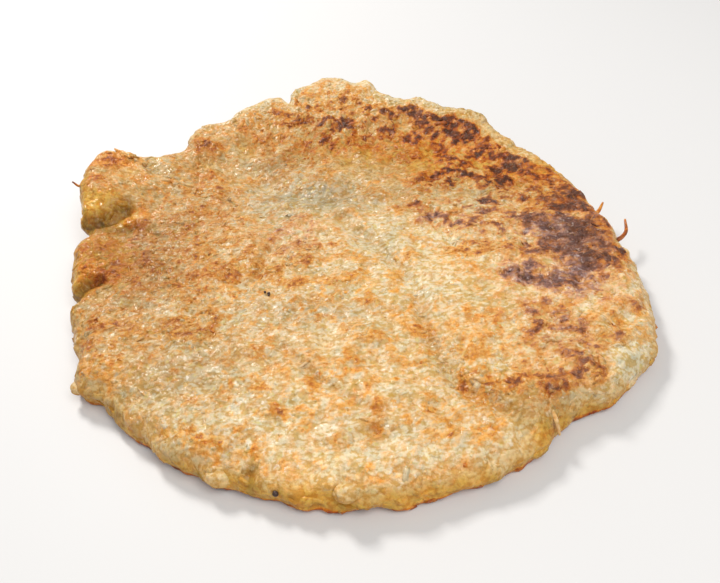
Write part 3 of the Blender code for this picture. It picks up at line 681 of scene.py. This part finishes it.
def core_arrays(mat, mat_shade):
    """Points, faces, fields and map of the pancake's body: top, wall and underside."""
    share, angle, top_quads, rim = disc_grid(TOP_GRID)
    under_share, under_angle, under_quads, under_rim = disc_grid(TOP_GRID // 2)
    turns = np.linspace(WALL_TOP_ANGLE, WALL_BOTTOM_ANGLE, WALL_ROWS + 1)[1:]
    tops, walls = len(share), WALL_ROWS * len(rim)

    share = np.concatenate([share, np.ones(walls), under_share])
    angle = np.concatenate([angle, np.tile(angle[rim], WALL_ROWS), under_angle])
    turn = np.concatenate([np.full(tops, WALL_TOP_ANGLE), np.repeat(turns, len(rim)),
                           np.full(len(under_share), WALL_BOTTOM_ANGLE)])

    radius = outline_radius(angle)
    rounding = np.where(turn > 0, top_edge(radius * np.sin(angle)), BOTTOM_EDGE)
    plan = share * (radius - rounding * (1.0 - np.cos(turn) ** (2.0 / EDGE_POWER)))
    x, y = plan * np.cos(angle), plan * np.sin(angle)
    inset = radius - plan
    folds, crease = all_folds(x, y)
    depth = thickness(x, y, folds)
    upper = turn > 0
    z = np.where(upper, top_surface(x, y, inset, depth), bottom_surface(x, y, inset, depth))
    plan = plan + wall_lumps(x, y, z, inset)
    x, y = plan * np.cos(angle), plan * np.sin(angle)

    on_top = (np.arange(len(x)) < tops) * smooth_step(inset, 0.5 * MM, 4 * MM)
    more = patch_brown(x, y)
    stand = read_raster(mat, x, y)
    crumble = layered_noise(x, y, CRUMBLE, 95.0)
    z = z + on_top * (crusty(more) * (stand - STAMP_HEIGHT) + crumble)
    own = read_raster(mat_shade, x, y)
    under = np.arange(len(x)) >= tops + walls
    rough = 0.25 * MM * soft_noise(x, y, 3.0 * MM, 91.0)
    z = z + np.where(under & (lift(x, y) > 0.5 * MM), rough, 0)

    relative = (stand + crumble) / STAMP_HEIGHT - 1.0
    brown = brown_at(x, y, z, inset, more, own, np.where(on_top > 0, relative, 0))
    below = UNDER_BROWN + 0.35 * speckle(x + 0.3, y)
    brown = np.where(under, below, brown)
    amber = amber_at(x, y, z, inset, crease)
    # more amber in the low places between the strips: painted shade
    amber = np.where(under, 0.3, amber + 0.25 * np.clip(-relative, 0, 1) * on_top)
    light = light_at(x, y, crease, own)
    fields = np.stack([brown, light, amber, smoky_at(x, y)], -1)

    points = np.stack([x, y, z], -1)
    faces = core_faces(top_quads, rim, under_quads, under_rim)
    uv = core_map(points[:, :2], *faces)
    return points, list(chain(*(part.tolist() for part in faces))), fields, uv


def walk_strips(tree, starts, normals, lengths, bends, rng):
    """Paths over the surface, STRIP_PARTS + 1 places a strip, with normals and headings."""
    places = np.zeros((len(starts), STRIP_PARTS + 1, 3))
    outs, ways = np.zeros_like(places), np.zeros_like(places)
    for strip, (start, normal) in enumerate(zip(starts, normals)):
        point, out = Vector(start), Vector(normal)
        heading = out.orthogonal().normalized()
        heading.rotate(Quaternion(out, rng.uniform(0, math.tau)))
        step = lengths[strip] / STRIP_PARTS
        turn = bends[strip] / STRIP_PARTS
        for part in range(STRIP_PARTS + 1):
            places[strip, part], outs[strip, part] = point, out
            heading = (heading - out * heading.dot(out)).normalized()
            heading.rotate(Quaternion(out, turn / 2))
            ways[strip, part] = heading
            heading.rotate(Quaternion(out, turn / 2))
            found = tree.find_nearest(point + heading * step)
            if (found[0] - point).dot(heading) > SHORTEST_STEP * step:
                point, out = found[0], (out + found[1]).normalized()
            else:
                point = point + heading * (SHORTEST_STEP * step)
    return places, outs, ways


def unit(vectors):
    """The vectors at length 1, and along X where they have no length."""
    length = np.linalg.norm(vectors, axis=-1, keepdims=True)
    return np.where(length > TINY, vectors / np.maximum(length, TINY), (1.0, 0.0, 0.0))


def strip_map(count, stations, turn):
    """Map of the strips: each in a square of its own, its sides as a band beside its caps."""
    cells = math.ceil(math.sqrt(count))
    corner = np.stack([np.arange(count) % cells, np.arange(count) // cells], -1) / cells
    u = (np.arange(stations - 1)[:, None, None] + np.array([0, 0, 1, 1])) / (stations - 1)
    v = (np.arange(STRIP_SIDES)[None, :, None] + np.array([0, 1, 1, 0])) / STRIP_SIDES
    sides = np.stack(np.broadcast_arrays(u, v), -1) * 0.86 / cells
    sides = corner[:, None, None, None] + 0.04 / cells + sides[None]
    cap = np.stack([np.cos(turn), np.sin(turn)], -1) * 0.03 / cells
    near_cap = corner[:, None] + np.array([0.95, 0.3]) / cells + cap[None, ::-1]
    far_cap = corner[:, None] + np.array([0.95, 0.7]) / cells + cap[None]
    return np.vstack([part.reshape(-1, 2) for part in (sides, near_cap, far_cap)])


def strip_mesh(name, places, outs, ways, widths, depths, levels, fields):
    """One mesh of many flattened bent strips that follow their paths."""
    count, stations = places.shape[:2]
    side = unit(np.cross(outs, ways))
    along = np.linspace(0, 1, stations)
    taper = np.clip(np.sin(math.pi * (0.06 + 0.88 * along)), 0, 1) ** 0.45
    dip = (1 - np.sin(math.pi * along)) ** 2 * 0.5 * MM
    turn = (np.arange(STRIP_SIDES) + 0.5) * math.tau / STRIP_SIDES
    centre = places + outs * (levels[:, None] - dip[None, :])[..., None]
    half_width = (widths[:, None] * taper / 2)[..., None, None]
    half_depth = (depths[:, None] * taper / 2)[..., None, None]
    points = (centre[:, :, None] + side[:, :, None] * half_width * np.cos(turn)[:, None]
              + outs[:, :, None] * half_depth * np.sin(turn)[:, None])
    points[..., 2] = np.maximum(points[..., 2], 0.0)
    index = np.arange(count * stations * STRIP_SIDES).reshape(count, stations, STRIP_SIDES)
    faces = ring_quads(index).tolist()
    faces += index[:, 0, ::-1].tolist() + index[:, -1].tolist()
    crust = np.repeat(fields.reshape(-1, fields.shape[-1]), STRIP_SIDES, axis=0)
    uv = strip_map(count, stations, turn)
    return make_mesh(name, points.reshape(-1, 3), faces, crust, uv)


def scatter(points, faces, part, count, rng):
    """Random places over one part of the surface, with their normals."""
    corners = points[np.array([face[:3] for face in faces])]
    cross = np.cross(corners[:, 1] - corners[:, 0], corners[:, 2] - corners[:, 0])
    area = np.linalg.norm(cross, axis=1)
    normals = cross / np.maximum(area, TINY ** 2)[:, None]
    weight = area * part_of_surface(part, normals)
    chosen = rng.choice(len(faces), count, p=weight / weight.sum())
    return corners[chosen].mean(axis=1), normals[chosen]


# ---- materials ----

# how brown a place is, and its colour there
CRUST_STOPS = (
    (0.00, (0.85, 0.73, 0.50)), (0.15, (0.80, 0.66, 0.42)), (0.27, (0.80, 0.59, 0.35)),
    (0.40, (0.80, 0.46, 0.160)), (0.53, (0.75, 0.35, 0.060)), (0.65, (0.52, 0.175, 0.026)),
    (0.77, (0.28, 0.084, 0.018)), (0.90, (0.15, 0.048, 0.017)), (1.00, (0.10, 0.037, 0.018)),
)
SMOKY_STOPS = (  # the same where it is smoky
    (0.00, (0.86, 0.75, 0.53)), (0.27, (0.80, 0.60, 0.36)), (0.42, (0.76, 0.46, 0.27)),
    (0.56, (0.58, 0.32, 0.21)), (0.70, (0.40, 0.22, 0.175)), (0.84, (0.26, 0.135, 0.112)),
    (1.00, (0.14, 0.066, 0.055)),
)
# colour of the painted glints in the purple browning
PAINTED_GLINT = (0.66, 0.54, 0.52, 1)
PALE_FLECK_AND_GLINT = (0.90, 0.80, 0.65, 1)
OLIVE = (0.60, 0.46, 0.14, 1)
MOIST = (0.60, 0.52, 0.31, 1)
AMBER_TINT = (0.84, 0.57, 0.15, 1)
GREY_TINT = (0.84, 0.91, 0.98, 1)
# warm tint of the painted shade in the grain's low places
CREVICE_SHADE_TINT = (0.84, 0.64, 0.34, 1)

FLAKE_WARP = 0.0022  # how far the flakes' borders are bent, in metres
FINE_BROWN = 0.38  # how much the finest grain varies the browning
FLAKE_BROWN = 0.16  # and how much the flakes do
UNEVEN = (0.75, 0.5)  # brightness where its grain is 0, and what the grain adds
WET = (0.20, 0.38)  # roughness where wet, and how much more where dry
RELIEF_DEPTH = 0.0007
CRUST_SHADER = {
    "Subsurface Weight": 0.25, "Subsurface Radius": (1.0, 0.62, 0.32),
    "Specular IOR Level": 0.22, "Coat Weight": 0.22, "Coat Roughness": 0.08,
}


class Nodes:
    """Short forms for the shader nodes that the crust is made of."""

    def __init__(self, material):
        material.use_nodes = True
        self.tree = material.node_tree
        self.shader = self.tree.nodes["Principled BSDF"]
        self.place = self.new("TexCoord", {}, "Object")

    def put(self, socket, value):
        """A number or colour is set on the socket, and an output is linked to it."""
        if isinstance(value, (int, float, tuple)):
            socket.default_value = value
        else:
            self.tree.links.new(value, socket)

    def new(self, kind, inputs, output, **settings):
        """One output of a new node with these inputs and settings."""
        node = self.tree.nodes.new("ShaderNode" + kind)
        for name, value in settings.items():
            setattr(node, name, value)
        for name, value in inputs.items():
            self.put(node.inputs[name], value)
        return node.outputs[output]

    def grain(self, scale, detail):
        inputs = {"Scale": scale, "Detail": detail, "Roughness": 0.55, "Vector": self.place}
        return self.new("TexNoise", inputs, "Fac")

    def flakes(self, scale, stretch, turn):
        """Flat flakes: the shade of each, and how far a place is from the flake's middle."""
        bent = self.new("TexNoise", {"Scale": 260.0, "Vector": self.place}, "Color")
        push = self.new("VectorMath", {0: bent, 1: (FLAKE_WARP,) * 3, 2: self.place}, 0,
                        operation="MULTIPLY_ADD")
        turned = {"Rotation": (0, 0, turn), "Scale": (1.0, stretch, 1.0), "Vector": push}
        spots = self.new("Mapping", turned, 0)
        cells = self.new("TexVoronoi", {"Scale": scale, "Vector": spots}, "Color")
        return self.new("SeparateColor", {0: cells}, "Red"), cells.node.outputs["Distance"]

    def maths(self, kind, a, b, clamp=False):
        return self.new("Math", {0: a, 1: b}, 0, operation=kind, use_clamp=clamp)

    def add(self, a, b, clamp=False):
        return self.maths("ADD", a, b, clamp)

    def less(self, a, b, clamp=False):
        return self.maths("SUBTRACT", a, b, clamp)

    def times(self, a, b):
        return self.maths("MULTIPLY", a, b)

    def spread(self, value, low, high):
        """0 to 1 as the value goes from low to high."""
        return self.new("MapRange", {"Value": value, "From Min": low, "From Max": high}, "Result")

    def mix(self, kind, share, a, b):
        return self.new("Mix", {"Factor": share, "A": a, "B": b}, "Result",
                        data_type="RGBA", blend_type=kind)

    def ramp(self, value, stops):
        colour = self.new("ValToRGB", {"Fac": value}, "Color")
        ends = colour.node.color_ramp.elements
        for element, (place, shade) in zip(ends, (stops[0], stops[-1])):
            element.position, element.color = place, (*shade, 1)
        for place, shade in stops[1:-1]:
            ends.new(place).color = (*shade, 1)
        return colour


def crust_colour(kit, browned, light, amber, smoky, flaky):
    """Colour of the fried potato, and its browning with the fine mottling."""
    fine = kit.less(kit.grain(480.0, 3.0), 0.5)
    brown = kit.add(browned, kit.times(fine, FINE_BROWN))
    brown = kit.add(brown, kit.times(flaky, FLAKE_BROWN), clamp=True)
    colour = kit.mix("MIX", smoky, kit.ramp(brown, CRUST_STOPS), kit.ramp(brown, SMOKY_STOPS))
    # painted glints: small lighter grey spots where the browning is purple
    painted_glint = kit.times(kit.spread(kit.grain(620.0, 1.0), 0.60, 0.70), smoky)
    colour = kit.mix("MIX", kit.times(painted_glint, 0.55), colour, PAINTED_GLINT)

    # moist pale potato is greyer and a little green, in patches
    pale = kit.less(1.0, kit.times(brown, 2.2), clamp=True)
    moist = kit.times(kit.spread(kit.grain(100.0, 3.0), 0.44, 0.62), pale)
    colour = kit.mix("MIX", kit.times(moist, 0.85), colour, MOIST)
    # the light field holds painted shade in creases and shaded places, painted light on faces
    # turned from the lamps, moist darkness and each strip's own brightness
    uneven = kit.times(light, kit.add(UNEVEN[0], kit.times(kit.grain(1000.0, 2.0), UNEVEN[1])))
    tone = kit.new("CombineColor", {0: uneven, 1: uneven, 2: uneven}, 0)
    colour = kit.mix("MULTIPLY", 1.0, colour, tone)
    # the amber tint holds translucent potato and, in creases, hollows and low on the wall, painted
    # shade
    colour = kit.mix("MULTIPLY", amber, colour, AMBER_TINT)
    colour = kit.mix("MULTIPLY", kit.times(amber, -1.0), colour, GREY_TINT)

    # pale specks, partly bits of pale potato and partly painted glints, and olive specks, in what
    # is neither brown nor amber
    plain = kit.less(0.85, kit.maths("MAXIMUM", brown, amber), clamp=True)
    for scale, low, high, speck in ((540.0, 0.64, 0.70, PALE_FLECK_AND_GLINT), (450.0, 0.62, 0.72, OLIVE)):
        share = kit.times(kit.spread(kit.grain(scale, 1.0), low, high), plain)
        colour = kit.mix("MIX", share, colour, speck)
    return colour


def crust_material(name, bump, glow_depth):
    """Fried potato: browning from the piece's fields, with fine mottling of its own."""
    material = bpy.data.materials.new(name)
    kit = Nodes(material)
    fields = kit.new("Attribute", {}, "Color", attribute_name="crust")
    browned, light, amber = kit.new("SeparateColor", {0: fields}, 0).node.outputs
    flake, out = kit.flakes(400.0, 1.8, 0.5)
    small_flake, small_out = kit.flakes(560.0, 1.6, -1.0)
    flakes = kit.add(flake, small_flake)
    colour = crust_colour(kit, browned, light, amber, fields.node.outputs["Alpha"],
                          kit.less(flakes, 1.0))

    dome = kit.add(kit.times(out, -0.7), kit.times(small_out, -0.5))
    grit = kit.add(kit.grain(1000.0, 2.0), kit.times(kit.grain(420.0, 2.0), 1.3))
    height = kit.add(kit.add(dome, kit.times(flakes, 0.35)), grit)
    # painted shade: the low places of the grain's relief are darkened with a warm tint
    crevice_shade = kit.spread(height, 1.02, 0.62)
    dry = kit.spread(kit.grain(300.0, 3.0), 0.36, 0.52)
    height = kit.times(height, kit.add(0.40, kit.times(browned, 1.3)))
    relief = kit.new("Bump", {"Strength": bump, "Distance": RELIEF_DEPTH, "Height": height},
                     "Normal")
    inputs = {
        "Base Color": kit.mix("MULTIPLY", crevice_shade, colour, CREVICE_SHADE_TINT),
        "Roughness": kit.add(WET[0], kit.times(dry, WET[1])),
        "Subsurface Scale": glow_depth, "Normal": relief, "Coat Normal": relief,
    }
    for socket, value in {**CRUST_SHADER, **inputs}.items():
        kit.put(kit.shader.inputs[socket], value)
    return material


def plain_material(name, colour, roughness):
    material = bpy.data.materials.new(name)
    material.use_nodes = True
    shader = material.node_tree.nodes["Principled BSDF"]
    shader.inputs["Base Color"].default_value = (*colour, 1)
    shader.inputs["Roughness"].default_value = roughness
    return material


# ---- stage ----

CAMERA_PLACE = (4.7 * MM, -198.0 * MM, 157.0 * MM)
CAMERA_PITCH = math.radians(44.0)
CAMERA_ROLL = math.radians(-3.7)
CAMERA_LENS = 32.5
CAMERA_SHIFT = 0.033

FLOOR_COLOUR = (0.715, 0.712, 0.71)
WORLD_COLOUR = (0.97, 0.98, 1.0, 1)
WORLD_STRENGTH = 0.36
# lights that look at the middle: place and size in metres, power and colour
LIGHTS = {
    "window": ((-0.40, 0.67, 0.77), 0.22, 8.9, (1.0, 0.97, 0.93)),
    "ceiling": ((0.30, -0.42, 0.90), 0.72, 6.5, (1.0, 0.98, 0.95)),
}


def make_camera():
    data = bpy.data.cameras.new("camera")
    data.lens = CAMERA_LENS
    data.sensor_width = 36.0
    data.shift_y = CAMERA_SHIFT
    data.clip_start = 0.01
    camera = bpy.data.objects.new("camera", data)
    camera.rotation_mode = "XYZ"
    camera.location = CAMERA_PLACE
    camera.rotation_euler = (math.pi / 2 - CAMERA_PITCH, 0, 0)
    bpy.context.scene.collection.objects.link(camera)
    bpy.context.view_layer.update()
    camera.matrix_world = camera.matrix_world @ Matrix.Rotation(CAMERA_ROLL, 4, "Z")
    bpy.context.scene.camera = camera


def make_light(name, place, size, power, colour):
    data = bpy.data.lights.new(name, "AREA")
    data.size = size
    data.energy = power
    data.color = colour
    light = bpy.data.objects.new(name, data)
    light.location = place
    light.rotation_euler = (-Vector(place)).to_track_quat("-Z", "Y").to_euler()
    bpy.context.scene.collection.objects.link(light)


def make_stage():
    bpy.ops.mesh.primitive_plane_add(size=6.0, location=(0, 0, -0.0002))
    floor = bpy.context.object
    floor.name = "floor"
    floor.data.materials.append(plain_material("floor", FLOOR_COLOUR, 0.6))
    world = bpy.data.worlds.new("studio")
    bpy.context.scene.world = world
    world.use_nodes = True
    background = world.node_tree.nodes["Background"]
    background.inputs["Color"].default_value = WORLD_COLOUR
    background.inputs["Strength"].default_value = WORLD_STRENGTH
    for name, light in LIGHTS.items():
        make_light(name, *light)
    bpy.context.scene.view_settings.view_transform = "Standard"


# kinds of strip: how many, length, width, depth and level of the middle, all in mm, and
# the part of the surface that they lie on
STRIP_KINDS = {
    "strips_fine": (6900, (1.4, 3.2), (1.1, 1.8), (0.5, 0.9), (-0.30, -0.04), "top"),
    "strips_long": (1100, (5, 11), (0.8, 1.5), (0.5, 0.8), (-0.34, -0.12), "top"),
    "strips_wall": (1700, (3, 9), (1.8, 3.4), (1.2, 2.0), (-0.80, -0.15), "wall"),
}


def part_of_surface(part, normal):
    """Which faces are on the part, from their normals."""
    if part == "top":
        return (normal[:, 2] > 0.75).astype(float)
    return ((normal[:, 2] < 0.8) & (normal[:, 2] > -0.6)).astype(float)


def make_strips(name, tree, surface, rng, material):
    """All strips of one kind, as one piece."""
    count, length, width, depth, level, part = STRIP_KINDS[name]
    starts, normals = scatter(*surface, part, count, rng)
    lengths = rng.uniform(*length, count) * MM
    bends = rng.normal(0, 0.7, count)
    places, outs, ways = walk_strips(tree, starts, normals, lengths, bends, rng)
    x, y, z = np.moveaxis(places, -1, 0)
    inset = outline_radius(np.arctan2(y, x)) - np.hypot(x, y)
    more = patch_brown(x, y)
    levels = rng.uniform(*level, count) * MM - SUNK_WHERE_PALE * (1 - crusty(more).mean(axis=1))
    own = np.repeat(rng.normal(size=(count, 1)), places.shape[1], axis=1)
    brown = brown_at(x, y, z, inset, more, own, 0.5 + levels[:, None] / MM)
    crease = all_folds(x, y)[1]
    fields = np.stack([brown, light_at(x, y, crease, own), amber_at(x, y, z, inset, crease),
                       smoky_at(x, y)], -1)
    piece = strip_mesh(name, places, outs, ways, rng.uniform(*width, count) * MM,
                       rng.uniform(*depth, count) * MM, levels, fields)
    finish_piece(piece, material)


def finish_piece(piece, material):
    """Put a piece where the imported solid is, and give it its material, ride and slot."""
    piece.data.transform(Matrix.Translation((*RECENTRE, 0.0)))
    piece.data.materials.append(material)
    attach(piece, "root")


def make_strays(material):
    """The strips whose ends stand free at the edge, as one piece."""
    points, faces, crust = [], [], []
    for plan, heights, width, root, tip in STRAYS.values():
        path = smooth_path([(*place, height) for place, height in zip(plan, heights)], 5) * MM
        path[:, 2] += lift(path[:, 0], path[:, 1])
        share = np.linspace(0, 1, len(path))
        across = width * MM / 2 * (1.0 - 0.6 * share ** 2)
        first = len(points)
        for place, ahead, reach, along in zip(path, np.gradient(path, axis=0), across, share):
            side = Vector(ahead).cross(Vector((0, 0, 1))).normalized()
            over = side.cross(Vector(ahead)).normalized()
            for corner in np.arange(STRAY_SIDES) * math.tau / STRAY_SIDES:
                out = side * math.cos(corner) + over * math.sin(corner)
                points.append(Vector(place) + out * float(reach))
                crust.append((root + (tip - root) * along ** 2, 1.0, 0.4, 0.0))
        rings = first + np.arange(len(path) * STRAY_SIDES).reshape(-1, STRAY_SIDES)
        faces += ring_quads(rings).tolist() + [rings[0, ::-1].tolist(), rings[-1].tolist()]
    finish_piece(make_mesh("strips_free", np.array(points), faces, np.array(crust)), material)


def make_lumps(material):
    """Lumps of potato in the near edge, as one piece."""
    ball = bmesh.new()
    bmesh.ops.create_icosphere(ball, subdivisions=4, radius=1.0)
    sphere = np.array([vert.co[:] for vert in ball.verts])
    ball_faces = np.array([[vert.index for vert in face.verts] for face in ball.faces])
    ball.free()
    points, faces, crust = [], [], []
    for number, ((x, y), z, half, brown) in enumerate(LUMPS.values()):
        around = sphere[:, 0] + 2.0 * sphere[:, 2], sphere[:, 1]
        uneven = 1.0 + 0.22 * soft_noise(*around, 0.9, 3.3 * number)
        faces.append(ball_faces + sum(len(part) for part in points))
        points.append(np.array((x, y, z)) * MM + sphere * np.array(half) * MM * uneven[:, None])
        # more amber, and so darker, towards each lump's underside, as low on the wall
        amber = 0.75 - 0.45 * sphere[:, 2]
        plain = np.ones(len(sphere))
        crust.append(np.stack([brown * plain, plain, amber, 0.0 * plain], -1))
    points = np.vstack(points)
    points[:, 2] = np.maximum(points[:, 2], 0.0)
    finish_piece(make_mesh("lumps", points, np.vstack(faces).tolist(), np.vstack(crust)), material)


def make_pepper(tree):
    """The pepper grains, as one piece."""
    pieces = bmesh.new()
    for x, y, z, radius in np.array(PEPPER) * MM:
        spot = tree.find_nearest(Vector((x, y, z)))[0]
        place = Matrix.Translation(spot + Vector((0, 0, 0.3 * radius)))
        bmesh.ops.create_icosphere(pieces, subdivisions=2, radius=float(radius), matrix=place)
    for vert in pieces.verts:
        vert.co += 0.12 * MM * noise.noise_vector(vert.co / MM)
    mesh = bpy.data.meshes.new("pepper")
    pieces.to_mesh(mesh)
    pieces.free()
    mesh.shade_smooth()
    piece = bpy.data.objects.new("pepper", mesh)
    bpy.context.scene.collection.objects.link(piece)
    finish_piece(piece, plain_material("pepper", (0.045, 0.020, 0.014), 0.45))


def main():
    rng = np.random.default_rng(SEED)
    mat, mat_shade = stamp_mat(rng)
    points, faces, fields, uv = core_arrays(mat, mat_shade)
    core = make_mesh("pancake_body", points, faces, fields, uv)
    finish_piece(core, crust_material("fried potato", 0.60, 1.5 * MM))
    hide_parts("pancake")

    tree = BVHTree.FromPolygons(points.tolist(), faces)
    strip_crust = crust_material("fried potato strip", 0.50, 0.4 * MM)
    for name in STRIP_KINDS:
        make_strips(name, tree, (points, faces), rng, strip_crust)
    make_strays(strip_crust)
    make_lumps(strip_crust)
    make_pepper(tree)
    make_stage()
    make_camera()


main()
